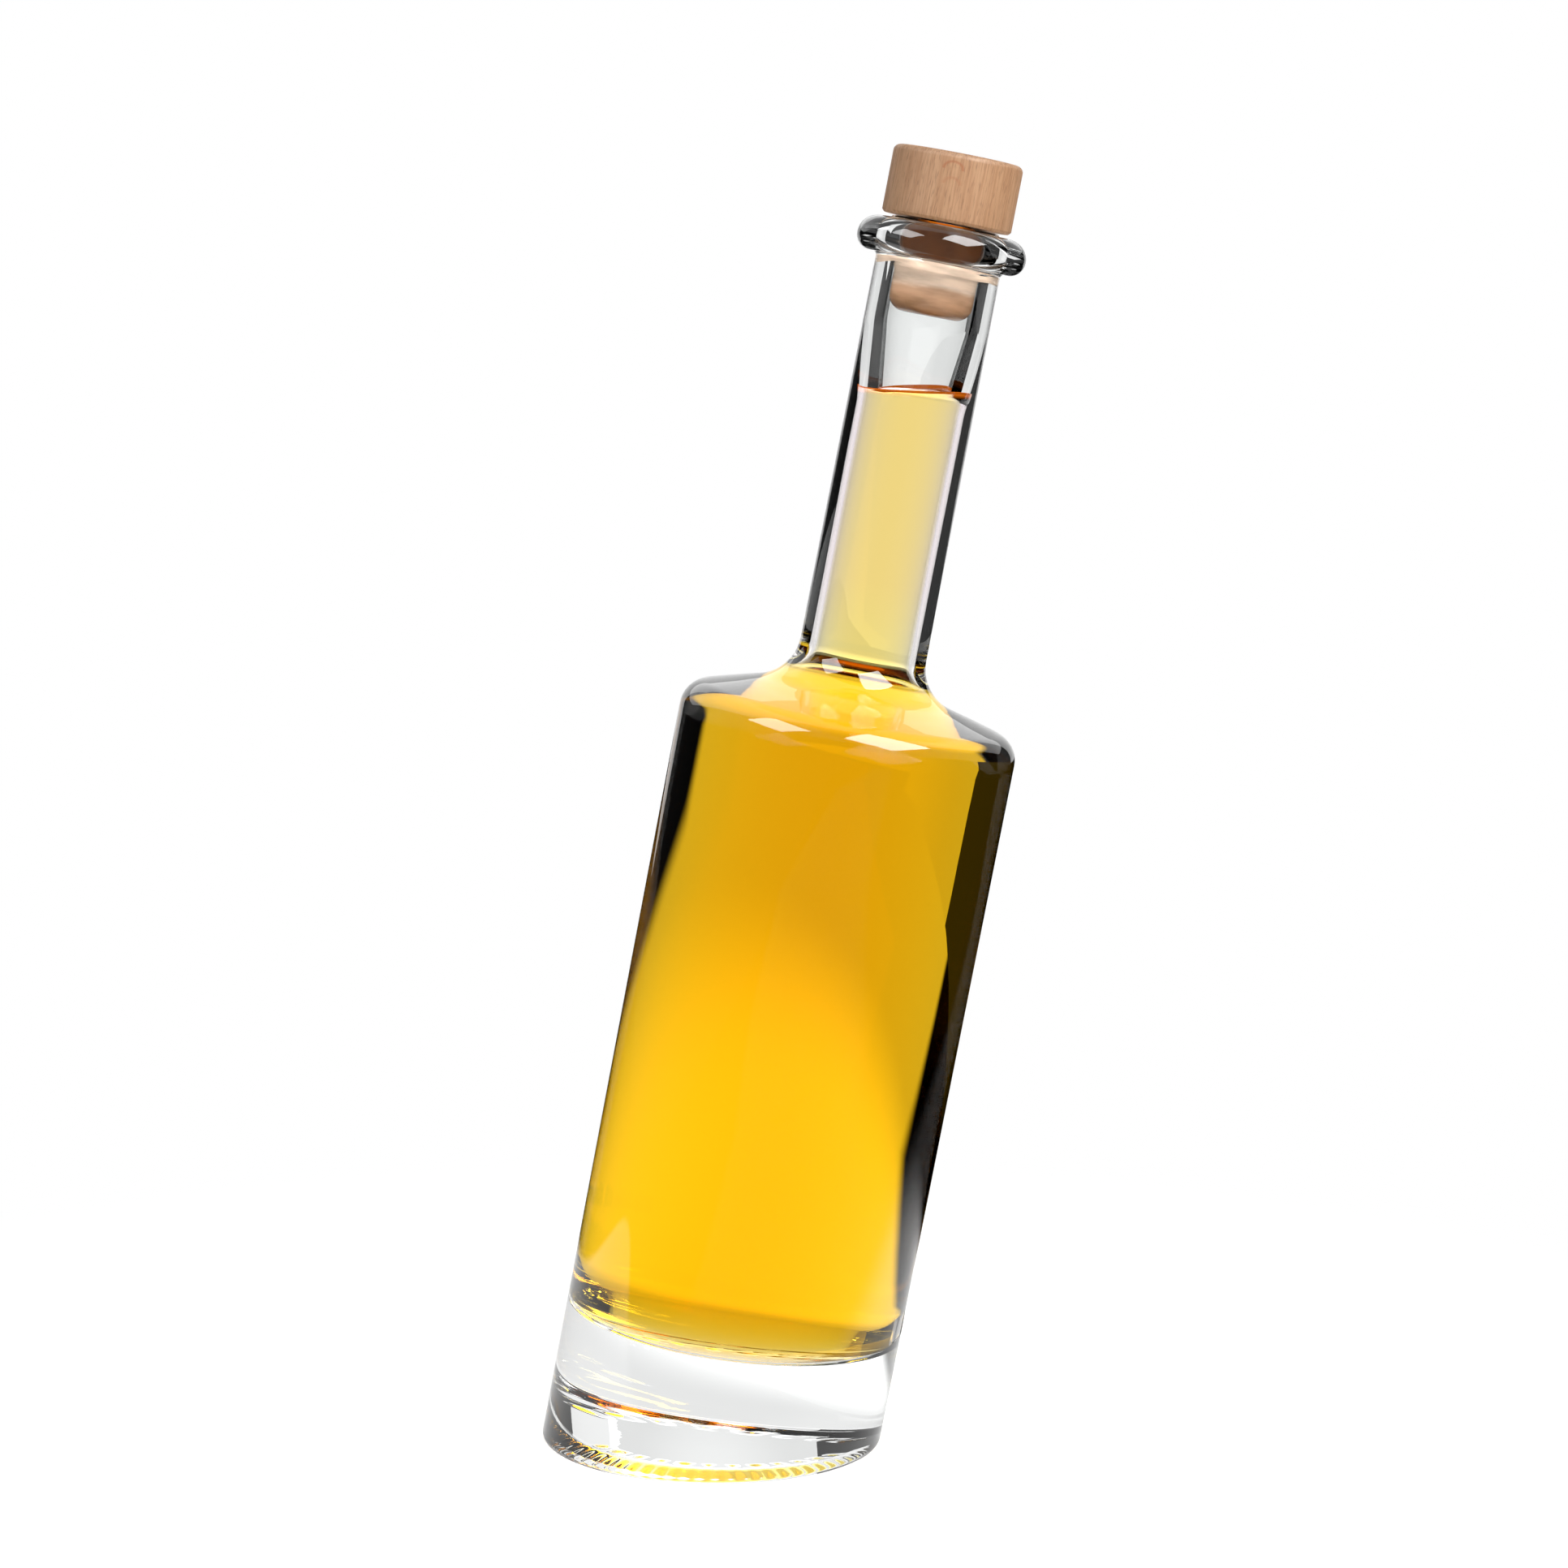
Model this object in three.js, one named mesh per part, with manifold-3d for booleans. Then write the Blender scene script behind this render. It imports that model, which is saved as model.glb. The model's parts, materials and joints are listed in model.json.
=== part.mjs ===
// A leaning glass bottle with a thick slanted base, filled to the neck and closed with a beech T-stopper.
// Millimetres, +Z up. The bottle is drawn upright on its own axis, then leant until its foot lies level.
import * as THREE from "three";
import { mergeVertices } from "three/addons/utils/BufferGeometryUtils.js";
import Module from "manifold-3d";

const wasm = await Module();
wasm.setup();

// Driving sizes of the glass; heights are measured along the bottle's axis from the middle of its foot
const LEAN_DEG = 9.8;
const BODY_RADIUS = 38;
const BODY_WALL = 4.4;
const BASE_THICKNESS = 27;
const FLOOR_TILT_DEG = 3.8;
const FLOOR_FILLET = 5;
const HEEL_RADIUS = 1.6;
const BEARING_WIDTH = 6.4;
const PUNT_DEPTH = 1.5;
const PUNT_RAMP = 5;
const PUNT_FILLET = 8;
const BEARING_EDGE_FILLET = 1.2;
const SHOULDER_HEIGHT = 169.5;
const SHOULDER_SLOPE_DEG = 15.6;
const SHOULDER_CORNER_RADIUS = 6.3;
const SHOULDER_WALL = 4.5;
const INNER_CORNER_RADIUS = 5;
const NECK_FILLET = 10.5;
const INNER_NECK_FILLET = 13;
const NECK_FOOT_RADIUS = 14.3;
const NECK_TOP_RADIUS = 13.9;
const RING_RADIUS = 18.9;
const RING_HALF_HEIGHT = 3.95;
const RING_UPPER_ROUND = 4.4;
const RING_LOWER_ROUND = 3.5;
const RING_HEIGHT = 274.7;
const RING_UNDERCUT_FILLET = 0.9;
const LIP_RADIUS = 12;
const LIP_STEP = 0.6;
const LIP_EDGE_RADIUS = 0.5;

// The bore: wide where the stopper sits, narrower below it
const BORE_MOUTH_RADIUS = 9.6;
const BORE_NECK_RADIUS = 7.8;
const BORE_SEAT_DEPTH = 23;
const BORE_TAPER_LENGTH = 17;
const BORE_BLEND_RADIUS = 30;
const MOUTH_LEAD_IN = 0.8;

// The liquid, which leaves a stretch of air below the stopper
const HEADSPACE = 18;
const LIQUID_CLEARANCE = 0.3;

// The stopper
const HEAD_RADIUS = 14.45;
const HEAD_THICKNESS = 15.1;
const HEAD_TOP_ROUND = 1.5;
const HEAD_BOTTOM_CHAMFER = 0.6;
const SHAFT_CLEARANCE = 0.3;
const SHAFT_LENGTH = 20.35;
const SHAFT_END_ROUND = 3.5;
const SPIGOT_RADIUS = 5.6;
const SPIGOT_LENGTH = 9;
const GLUE_GAP = 0.3;
const SEAT_GAP = 0.3;

// Fineness of the round surfaces
const ROUND_SEGMENTS = 48;
const ARC_STEP_DEG = 18;

// Sizes that follow from the driving ones
const lean = THREE.MathUtils.degToRad(LEAN_DEG);
const shoulderSlope = THREE.MathUtils.degToRad(SHOULDER_SLOPE_DEG);
const cavityRadius = BODY_RADIUS - BODY_WALL;
const ringTop = RING_HEIGHT + RING_HALF_HEIGHT;
const mouthHeight = ringTop + LIP_STEP;
const headBottom = mouthHeight + SEAT_GAP;
const shaftTop = headBottom - GLUE_GAP;
const shaftEnd = shaftTop - SHAFT_LENGTH;
const fillHeight = shaftEnd - HEADSPACE;
const cutMargin = BODY_RADIUS;

// An outline corner in the half-plane of the axis: radius, height and the fillet that softens it
function corner(radius, height, fillet = 0) {
  return { at: new THREE.Vector2(radius, height), fillet };
}

// Points of the arc that replaces a corner, tangent to both of its sides
function filletArc(before, { at, fillet }, after) {
  const toBefore = before.clone().sub(at).normalize();
  const toAfter = after.clone().sub(at).normalize();
  const halfAngle = Math.acos(toBefore.dot(toAfter)) / 2;
  const middle = toBefore.clone().add(toAfter).normalize();
  const centre = at.clone().addScaledVector(middle, fillet / Math.sin(halfAngle));
  const start = at.clone().addScaledVector(toBefore, fillet / Math.tan(halfAngle));
  const turn = Math.PI - 2 * halfAngle;
  const direction = Math.sign(toAfter.cross(toBefore));
  const steps = Math.max(2, Math.ceil(THREE.MathUtils.radToDeg(turn) / ARC_STEP_DEG));
  return Array.from({ length: steps + 1 }, (_, i) =>
    start.clone().rotateAround(centre, (direction * turn * i) / steps),
  );
}

// The outline through a list of corners, with every fillet worked out and no point twice
function outline(corners) {
  const points = corners.flatMap((here, i) =>
    here.fillet > 0 ? filletArc(corners[i - 1].at, here, corners[i + 1].at) : [here.at],
  );
  return points.filter((point, i) => i === 0 || point.distanceTo(points[i - 1]) > 1e-3);
}

// A solid of revolution about +Z from an outline that starts and ends on the axis
function turned(corners) {
  return new THREE.LatheGeometry(outline(corners), ROUND_SEGMENTS).rotateX(Math.PI / 2);
}

// Tilts the end of a turned form: points below the limit slide along the axis, so round walls stay round
function slantEnd(geometry, tilt, limit) {
  const position = geometry.getAttribute("position");
  for (let i = 0; i < position.count; i++) {
    if (position.getZ(i) < limit) {
      position.setZ(i, position.getZ(i) + position.getX(i) * Math.tan(tilt));
    }
  }
  return geometry;
}

function solid(geometry) {
  const bare = geometry.clone().deleteAttribute("normal").deleteAttribute("uv");
  const merged = mergeVertices(bare, 1e-4);
  return new wasm.Manifold(
    new wasm.Mesh({
      numProp: 3,
      vertProperties: merged.getAttribute("position").array,
      triVerts: new Uint32Array(merged.index.array),
    }),
  );
}

function geometryOf(manifold) {
  const mesh = manifold.getMesh();
  const geometry = new THREE.BufferGeometry()
    .setAttribute("position", new THREE.BufferAttribute(mesh.vertProperties, 3))
    .setIndex(new THREE.BufferAttribute(mesh.triVerts, 1));
  geometry.computeVertexNormals();
  return geometry;
}

function piece(name, manifold, material) {
  const mesh = new THREE.Mesh(geometryOf(manifold), new THREE.MeshStandardMaterial(material));
  mesh.name = name;
  return mesh;
}

// The outside of the glass, without its hollow
function outerForm() {
  const bearingInner = BODY_RADIUS - HEEL_RADIUS - BEARING_WIDTH;
  const neckFootHeight = SHOULDER_HEIGHT + (BODY_RADIUS - NECK_FOOT_RADIUS) * Math.tan(shoulderSlope);
  const ringBottom = RING_HEIGHT - RING_HALF_HEIGHT;
  const form = turned([
    corner(0, PUNT_DEPTH),
    corner(bearingInner - PUNT_RAMP, PUNT_DEPTH, PUNT_FILLET),
    corner(bearingInner, 0, BEARING_EDGE_FILLET),
    corner(BODY_RADIUS, 0, HEEL_RADIUS),
    corner(BODY_RADIUS, SHOULDER_HEIGHT, SHOULDER_CORNER_RADIUS),
    corner(NECK_FOOT_RADIUS, neckFootHeight, NECK_FILLET),
    corner(NECK_TOP_RADIUS, ringBottom, RING_UNDERCUT_FILLET),
    corner(RING_RADIUS, ringBottom, RING_LOWER_ROUND),
    corner(RING_RADIUS, ringTop, RING_UPPER_ROUND),
    corner(LIP_RADIUS, ringTop),
    corner(LIP_RADIUS, mouthHeight, LIP_EDGE_RADIUS),
    corner(0, mouthHeight),
  ]);
  return solid(slantEnd(form, lean, BASE_THICKNESS));
}

// Where the inner side of the shoulder lies at a radius, moved in by a clearance
function innerShoulderHeight(radius, clearance) {
  const thickness = (SHOULDER_WALL + clearance) / Math.cos(shoulderSlope);
  return SHOULDER_HEIGHT + (BODY_RADIUS - radius) * Math.tan(shoulderSlope) - thickness;
}

// Corners of the hollow from its floor to the narrow bore, shrunk by a clearance
function cavityCorners(clearance) {
  const wide = cavityRadius - clearance;
  const narrow = BORE_NECK_RADIUS - clearance;
  const floor = BASE_THICKNESS + clearance;
  return [
    corner(0, floor),
    corner(wide, floor, FLOOR_FILLET - clearance),
    corner(wide, innerShoulderHeight(wide, clearance), INNER_CORNER_RADIUS - clearance),
    corner(narrow, innerShoulderHeight(narrow, clearance), INNER_NECK_FILLET + clearance),
  ];
}

function tiltedFloor(geometry) {
  const floorTilt = THREE.MathUtils.degToRad(FLOOR_TILT_DEG);
  return slantEnd(geometry, floorTilt, (BASE_THICKNESS + SHOULDER_HEIGHT) / 2);
}

// The hollow that is taken out of the glass, open at the mouth
function cavity() {
  const taperTop = mouthHeight - BORE_SEAT_DEPTH;
  const taperBottom = taperTop - BORE_TAPER_LENGTH;
  const form = turned([
    ...cavityCorners(0),
    corner(BORE_NECK_RADIUS, taperBottom, BORE_BLEND_RADIUS),
    corner(BORE_MOUTH_RADIUS, taperTop, BORE_BLEND_RADIUS),
    corner(BORE_MOUTH_RADIUS, mouthHeight - MOUTH_LEAD_IN),
    corner(BORE_MOUTH_RADIUS + 2 * MOUTH_LEAD_IN, mouthHeight + MOUTH_LEAD_IN),
    corner(0, mouthHeight + MOUTH_LEAD_IN),
  ]);
  return solid(tiltedFloor(form));
}

function glassBottle() {
  return piece("glass_bottle", outerForm().subtract(cavity()), {
    color: 0xeef3f2,
    roughness: 0.03,
    metalness: 0,
    transparent: true,
    opacity: 0.35,
  });
}

// The liquid fills the hollow up to a surface that is level when the bottle leans
function liquidFill() {
  const top = fillHeight + cutMargin;
  const form = tiltedFloor(
    turned([
      ...cavityCorners(LIQUID_CLEARANCE),
      corner(BORE_NECK_RADIUS - LIQUID_CLEARANCE, top),
      corner(0, top),
    ]),
  );
  const above = new THREE.BoxGeometry(4 * cutMargin, 4 * cutMargin, 4 * cutMargin)
    .translate(0, 0, 2 * cutMargin)
    .rotateY(-lean)
    .translate(0, 0, fillHeight);
  return piece("liquid_fill", solid(form).subtract(solid(above)), {
    color: 0xf2b705,
    roughness: 0.05,
    metalness: 0,
    transparent: true,
    opacity: 0.8,
  });
}

// The turned head, with the blind socket that takes the shaft's spigot
function stopperHead() {
  const headTop = headBottom + HEAD_THICKNESS;
  const socketRadius = SPIGOT_RADIUS + GLUE_GAP;
  const form = turned([
    corner(0, headBottom + SPIGOT_LENGTH),
    corner(socketRadius, headBottom + SPIGOT_LENGTH),
    corner(socketRadius, headBottom),
    corner(HEAD_RADIUS - HEAD_BOTTOM_CHAMFER, headBottom),
    corner(HEAD_RADIUS, headBottom + HEAD_BOTTOM_CHAMFER),
    corner(HEAD_RADIUS, headTop, HEAD_TOP_ROUND),
    corner(0, headTop),
  ]);
  return piece("stopper_head", solid(form), { color: 0xcf9f73, roughness: 0.6, metalness: 0 });
}

// The smooth shaft that plugs the bore, with a spigot on top that is glued into the head
function stopperShaft() {
  const shaftRadius = BORE_MOUTH_RADIUS - SHAFT_CLEARANCE;
  const spigotTop = headBottom + SPIGOT_LENGTH - GLUE_GAP;
  const form = turned([
    corner(0, shaftEnd),
    corner(shaftRadius, shaftEnd, SHAFT_END_ROUND),
    corner(shaftRadius, shaftTop),
    corner(SPIGOT_RADIUS, shaftTop),
    corner(SPIGOT_RADIUS, spigotTop),
    corner(0, spigotTop),
  ]);
  return piece("stopper_shaft", solid(form), { color: 0xb98a68, roughness: 0.4, metalness: 0 });
}

// Everything stands on the slanted foot; the origin is the middle of the part's own box, on the ground
const standing = new THREE.Group();
standing.add(glassBottle(), liquidFill(), stopperHead(), stopperShaft());
standing.rotation.y = lean;

const bottle = new THREE.Group();
bottle.add(standing);
const box = new THREE.Box3().setFromObject(bottle, true);
standing.position.set(-(box.min.x + box.max.x) / 2, 0, -box.min.z);

export default bottle;
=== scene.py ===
"""A leaning bottle of clear glass with a golden liquid and a beech T-stopper, in a plain white studio."""
import json
import math

import bmesh
import bpy
from bpy.props import FloatProperty, FloatVectorProperty, IntProperty, PointerProperty
from bpy.types import Operator, Panel, PropertyGroup
from mathutils import Matrix, Vector


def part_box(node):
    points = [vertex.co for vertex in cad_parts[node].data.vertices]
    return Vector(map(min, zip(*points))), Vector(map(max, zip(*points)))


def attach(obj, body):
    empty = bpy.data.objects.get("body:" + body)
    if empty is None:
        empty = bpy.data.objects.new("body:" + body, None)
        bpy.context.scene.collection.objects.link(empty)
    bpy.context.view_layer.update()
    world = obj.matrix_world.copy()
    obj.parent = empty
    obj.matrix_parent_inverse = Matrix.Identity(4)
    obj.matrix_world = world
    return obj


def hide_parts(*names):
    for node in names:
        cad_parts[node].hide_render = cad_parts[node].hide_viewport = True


bl_info = {
    "name": "Leaning Bottle",
    "version": (1, 0, 0),
    "blender": (4, 5, 0),
    "location": "View3D > Sidebar > Bottle",
    "description": "Builds a leaning glass bottle with its liquid, its wooden stopper and a studio",
    "category": "Object",
}

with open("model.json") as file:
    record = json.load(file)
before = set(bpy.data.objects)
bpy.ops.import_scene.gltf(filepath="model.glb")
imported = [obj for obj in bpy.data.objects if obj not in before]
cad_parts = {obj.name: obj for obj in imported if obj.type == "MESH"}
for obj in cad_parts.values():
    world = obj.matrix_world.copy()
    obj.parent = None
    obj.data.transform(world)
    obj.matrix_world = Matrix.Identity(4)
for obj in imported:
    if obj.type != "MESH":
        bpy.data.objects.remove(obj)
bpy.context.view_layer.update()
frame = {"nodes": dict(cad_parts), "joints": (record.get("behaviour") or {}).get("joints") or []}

MM = 0.001
PULL_AXIS = Vector(frame["joints"][0]["axis"]).normalized()
LEAN = math.atan2(PULL_AXIS.x, PULL_AXIS.z)
GLASS_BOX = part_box("glass_bottle")
SMOOTH_ARC = math.radians(7.5)


def foot_centre():
    """Where the bottle's axis meets the ground: the middle of the CAD glass's lowest vertices."""
    low = [v.co.x for v in frame["nodes"]["glass_bottle"].data.vertices if v.co.z < 0.01 * MM]
    return Vector(((min(low) + max(low)) / 2, 0, 0))


FOOT = foot_centre()
TO_FRAME = Matrix.Translation(FOOT) @ Matrix.Rotation(LEAN, 4, "Y")


def length(name, description, millimetres):
    return FloatProperty(name=name, description=description, default=millimetres * MM, unit="LENGTH")


def angle(name, description, degrees):
    return FloatProperty(name=name, description=description, default=math.radians(degrees),
                         unit="ROTATION")


def colour(name, description, value):
    return FloatVectorProperty(name=name, description=description, default=value, size=3,
                               subtype="COLOR", min=0, max=1)


class BottleGlassSettings(PropertyGroup):
    """Sizes and tint of the glass; heights run along the bottle's axis from the middle of its foot"""
    body_radius: FloatProperty(name="Body radius", description="Outside of the round body",
                               default=(GLASS_BOX[1].y - GLASS_BOX[0].y) / 2, unit="LENGTH")
    body_wall: length("Body wall", "Thickness of the body's wall", 4.4)
    base_thickness: length("Base thickness", "Height of the inner floor on the axis", 27)
    floor_tilt: angle("Floor tilt", "Tilt of the inner floor against the axis", 3.8)
    floor_fillet: length("Floor fillet", "Round between the inner floor and the wall", 5)
    heel_radius: length("Heel radius", "Round between the foot and the wall", 1.6)
    bearing_width: length("Bearing width", "Width of the ring that the bottle stands on", 6.4)
    punt_depth: length("Punt depth", "Depth of the recess in the foot", 1.5)
    punt_ramp: length("Punt ramp", "Width of the slope into the recess", 5)
    punt_fillet: length("Punt fillet", "Round at the inner end of that slope", 8)
    bearing_fillet: length("Bearing fillet", "Round at its outer end", 1.2)
    shoulder_height: length("Shoulder height", "Where the wall's and the shoulder's lines meet", 169.5)
    shoulder_slope: angle("Shoulder slope", "Slope of the shoulder", 15.6)
    shoulder_corner: length("Shoulder corner", "Round of the shoulder's edge", 6.3)
    shoulder_wall: length("Shoulder wall", "Thickness of the shoulder", 4.5)
    inner_corner: length("Inner corner", "Round inside the shoulder's edge", 5)
    neck_fillet: length("Neck fillet", "Round between shoulder and neck", 10.5)
    inner_neck_fillet: length("Inner neck fillet", "The same inside", 13)
    neck_foot_radius: length("Neck foot radius", "Outside of the neck at its foot", 14.3)
    neck_top_radius: length("Neck top radius", "Outside of the neck below the ring", 13.9)
    ring_radius: length("Ring radius", "Outside of the ring below the mouth", 18.9)
    ring_half_height: length("Ring half height", "Half the ring's height", 3.95)
    ring_upper_round: length("Ring upper round", "Round of the ring's upper half", 4.4)
    ring_lower_round: length("Ring lower round", "Round of the ring's lower half", 3.5)
    ring_height: length("Ring height", "Middle of the ring", 274.7)
    ring_undercut: length("Ring undercut", "Round between neck and ring", 0.9)
    lip_radius: length("Lip radius", "Outside of the lip above the ring", 12)
    lip_step: length("Lip step", "Height of the lip above the ring", 0.6)
    lip_edge: length("Lip edge", "Round of the lip's edge", 0.5)
    bore_mouth_radius: length("Bore at the mouth", "Where the stopper sits", 9.6)
    bore_neck_radius: length("Bore in the neck", "Below the stopper", 7.8)
    bore_seat_depth: length("Seat depth", "How far the wide bore reaches down", 23)
    bore_taper: length("Bore taper", "Length of the change to the narrow bore", 17)
    bore_blend: length("Bore blend", "Rounds of that change", 30)
    mouth_lead_in: length("Mouth lead-in", "Round at the bore's edge", 0.8)
    wall_drift: length("Wall drift", "How far the blown inner wall wanders", 0.12)
    ridge_count: IntProperty(name="Foot ridges", description="Radial ridges on the bearing ring", default=60)
    ridge_depth: length("Ridge depth", "Depth of the grooves between them", 0.25)
    tint: colour("Glass tint", "Colour of the clear glass", (0.985, 0.995, 0.99))


class BottleLiquidSettings(PropertyGroup):
    """Level and colour of the liquid"""
    headspace: length("Headspace", "Air between the stopper and the liquid, along the axis", 18)
    wetting: length("Wetting", "How far the liquid's skin lies inside the glass", 0.15)
    meniscus: length("Meniscus", "How far the surface climbs the bore", 1.6)
    density: FloatProperty(name="Density", description="Absorption per metre", default=85)
    # Painted light: the rim glow is amber emission painted on the meniscus, not light guided up to it.
    painted_rim_glow: FloatProperty(name="Painted rim glow", description="Amber glow painted on the liquid's rim",
                            default=0.35)
    colour: colour("Colour", "What the liquid lets through", (0.9859, 0.8544, 0.0))


class BottleStopperSettings(PropertyGroup):
    """Sizes and colours of the T-stopper"""
    head_radius: length("Head radius", "Outside of the beech head", 14.45)
    head_thickness: length("Head thickness", "Height of the head", 15.1)
    head_round: length("Head round", "Round of the head's upper edge", 1.5)
    head_chamfer: length("Head chamfer", "Chamfer of its lower edge", 0.6)
    seat_gap: length("Seat gap", "Clearance of head and shaft", 0.3)
    shaft_length: length("Shaft length", "Below the head", 20.35)
    shaft_end_round: length("Shaft end round", "Round of the shaft's end", 3.5)
    press_start: length("Press start", "Depth at which the shaft begins to press on the bore", 6.3)
    press_length: length("Press length", "Stretch of the shaft that presses on the bore", 5.2)
    press_depth: length("Press depth", "How far that stretch lies against the glass", 0.06)
    spigot_radius: length("Spigot radius", "Of the spigot glued into the head", 5.6)
    spigot_length: length("Spigot length", "Depth of the head's socket", 9)
    beech_light: colour("Light beech", "Early wood", (0.70, 0.40, 0.215))
    beech_dark: colour("Dark beech", "Late wood", (0.44, 0.19, 0.07))
    beech_fleck: colour("Beech fleck", "Fine rays and pores", (0.27, 0.11, 0.04))
    shaft_colour: colour("Shaft", "The smooth shaft", (0.50, 0.25, 0.12))
    # Painted light and shade on the shaft: painted shade in the ring and under the head, and a painted pale
    # band where it presses on the glass.
    shaft_painted_shade: colour("Shaft in painted shade", "Shaft inside the ring and under the head", (0.15, 0.055, 0.02))
    shaft_painted_pale: colour("Painted pale shaft", "The shaft where it is pressed on the glass", (0.80, 0.60, 0.45))


class BottleStudioSettings(PropertyGroup):
    """Camera and light"""
    focal_length: FloatProperty(name="Focal length", description="In millimetres", default=91.3)
    distance: length("Distance", "From the bottle's plane", 883.3)
    side: length("Side", "Camera's place along X", 0.5)
    height: length("Height", "Camera's place above the ground", 260.7)
    pitch: angle("Pitch", "How far the camera looks down", 7.106)
    roll: angle("Roll", "Turn about the line of sight", 1.016)
    card_distance: length("Card distance", "From the camera to the white card", 2600)
    card_half_width: length("Card half width", "Beyond it the glass sees the dark room", 940)
    card_half_height: length("Card half height", "Half the card's height", 1500)
    ground_radius: length("Ground radius", "Radius of the white ground", 1750)
    table_half_width: length("Table half width", "Of the bright ground that the glass shows", 110)
    shadow_radius: length("Shadow radius", "Inside it the ground shows the bottle's shadow", 120)
    room_in_glass: FloatProperty(name="Room in glass", description="The dark room seen through glass",
                                 default=0.04)
    room_in_gloss: FloatProperty(name="Room in gloss", description="The dark room in reflections",
                                 default=0.012)
    ambient: FloatProperty(name="Ambient", description="Even light on what is matt", default=0.1)
    ambient_in_glass: FloatProperty(name="Ambient in glass", description="The same behind glass",
                                    default=1.1)


def settings(name):
    return getattr(bpy.context.scene, name)


# Outlines: corners in the half-plane of the axis, each with the fillet that softens it


def corner(radius, height, fillet=0.0):
    return Vector((radius, height)), fillet


def fillet_arc(before, at, after, fillet, arc_step=SMOOTH_ARC):
    """Points of the arc that replaces a corner, tangent to both of its sides."""
    to_before = (before - at).normalized()
    to_after = (after - at).normalized()
    half_angle = to_before.angle(to_after) / 2
    middle = (to_before + to_after).normalized()
    centre = at + middle * fillet / math.sin(half_angle)
    start = at + to_before * fillet / math.tan(half_angle) - centre
    turn = math.pi - 2 * half_angle
    side = 1 if to_after.x * to_before.y - to_after.y * to_before.x > 0 else -1
    steps = max(3, math.ceil(turn / arc_step))
    return [centre + Matrix.Rotation(side * turn * i / steps, 2) @ start for i in range(steps + 1)]


def outline(corners, longest=math.inf):
    """The line through a list of corners, with its fillets; a stretch over the longest is split."""
    points = []
    for i, (at, fillet) in enumerate(corners):
        run = fillet_arc(corners[i - 1][0], at, corners[i + 1][0], fillet) if fillet > 0 else [at]
        for point in run:
            if points:
                gap = (point - points[-1]).length
                if gap < 1e-6:
                    continue
                parts = max(1, math.ceil(gap / longest))
                start = points[-1].copy()
                points += [start.lerp(point, k / parts) for k in range(1, parts)]
            points.append(point)
    return points


def turned(points, steps):
    """A mesh spun from an outline about the axis."""
    bm = bmesh.new()
    verts = [bm.verts.new((p.x, 0, p.y)) for p in points]
    edges = [bm.edges.new(pair) for pair in zip(verts, verts[1:])]
    bmesh.ops.spin(bm, geom=verts + edges, cent=(0, 0, 0), axis=(0, 0, 1), dvec=(0, 0, 0),
                   angle=math.tau, steps=steps, use_merge=True)
    bmesh.ops.remove_doubles(bm, verts=bm.verts, dist=1e-6)
    return bm


def merged(shells):
    """Puts several shells into one mesh."""
    bm = bmesh.new()
    for shell in shells:
        part = bpy.data.meshes.new("shell")
        shell.to_mesh(part)
        shell.free()
        bm.from_mesh(part)
        bpy.data.meshes.remove(part)
    return bm


def finished(name, bm, material, body, node):
    """Closes, leans and smooths a mesh, and makes it the piece that stands for a CAD node."""
    bmesh.ops.remove_doubles(bm, verts=bm.verts, dist=1e-6)
    bmesh.ops.dissolve_degenerate(bm, edges=bm.edges, dist=1e-7)
    bmesh.ops.recalc_face_normals(bm, faces=bm.faces)
    bmesh.ops.transform(bm, matrix=TO_FRAME, verts=bm.verts)
    mesh = bpy.data.meshes.new(name)
    bm.to_mesh(mesh)
    bm.free()
    for face in mesh.polygons:
        face.use_smooth = True
    mesh.materials.append(material)
    piece = bpy.data.objects.new(name, mesh)
    bpy.context.scene.collection.objects.link(piece)
    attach(piece, body)
    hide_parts(node)
    return piece


# The glass


def mouth_height(glass):
    return glass.ring_height + glass.ring_half_height + glass.lip_step


def inner_shoulder(glass, radius, grown):
    thickness = (glass.shoulder_wall - grown) / math.cos(glass.shoulder_slope)
    rise = (glass.body_radius - radius) * math.tan(glass.shoulder_slope)
    return glass.shoulder_height + rise - thickness


def cavity_corners(glass, grown=0.0):
    """Corners of the hollow up to the lower edge of the mouth, grown into the glass by a little."""
    wide = glass.body_radius - glass.body_wall + grown
    narrow = glass.bore_neck_radius + grown
    floor = glass.base_thickness - grown
    taper_top = mouth_height(glass) - glass.bore_seat_depth
    return [
        corner(0, floor),
        corner(wide, floor, glass.floor_fillet + grown),
        corner(wide, inner_shoulder(glass, wide, grown), glass.inner_corner + grown),
        corner(narrow, inner_shoulder(glass, narrow, grown), glass.inner_neck_fillet - grown),
        corner(narrow, taper_top - glass.bore_taper, glass.bore_blend),
        corner(glass.bore_mouth_radius + grown, taper_top, glass.bore_blend),
        corner(glass.bore_mouth_radius + grown, mouth_height(glass) - glass.mouth_lead_in),
    ]


def slant_floor(glass, verts):
    """Tilts the inner floor: its points slide along the axis, so the round wall stays round."""
    for v in verts:
        if v.co.z < glass.base_thickness + 2 * glass.floor_fillet:
            v.co.z += v.co.x * math.tan(glass.floor_tilt)


DRIFT_FADE = 20 * MM


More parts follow.
